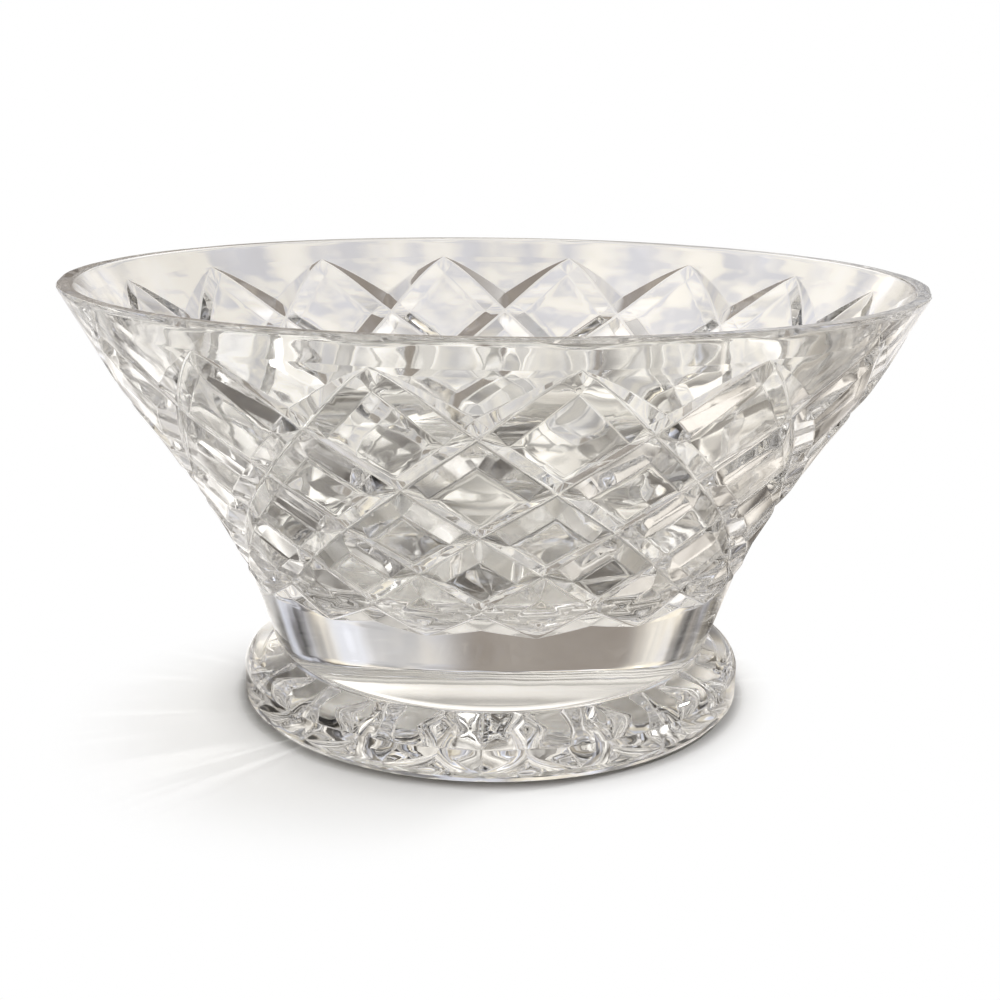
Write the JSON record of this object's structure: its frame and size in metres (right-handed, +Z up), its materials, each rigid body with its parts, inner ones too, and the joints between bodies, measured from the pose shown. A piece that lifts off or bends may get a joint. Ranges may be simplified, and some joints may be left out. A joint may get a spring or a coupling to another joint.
{
  "type": "cut crystal bowl",
  "caption": "Flared cut crystal bowl on a thick round foot, with a diamond lattice of mitre cuts on the wall and a star cut under the foot.",
  "frame": {"origin": "centre of the foot on the table", "axes": "+Z up along the axis of the bowl; -Y towards the viewer of the picture"},
  "size_m": [0.21, 0.21, 0.1075],
  "materials": {
    "crystal": "clear, polished"
  },
  "bodies": {
    "root": {"bowl": "crystal", "foot": "crystal"}
  },
  "joints": []
}
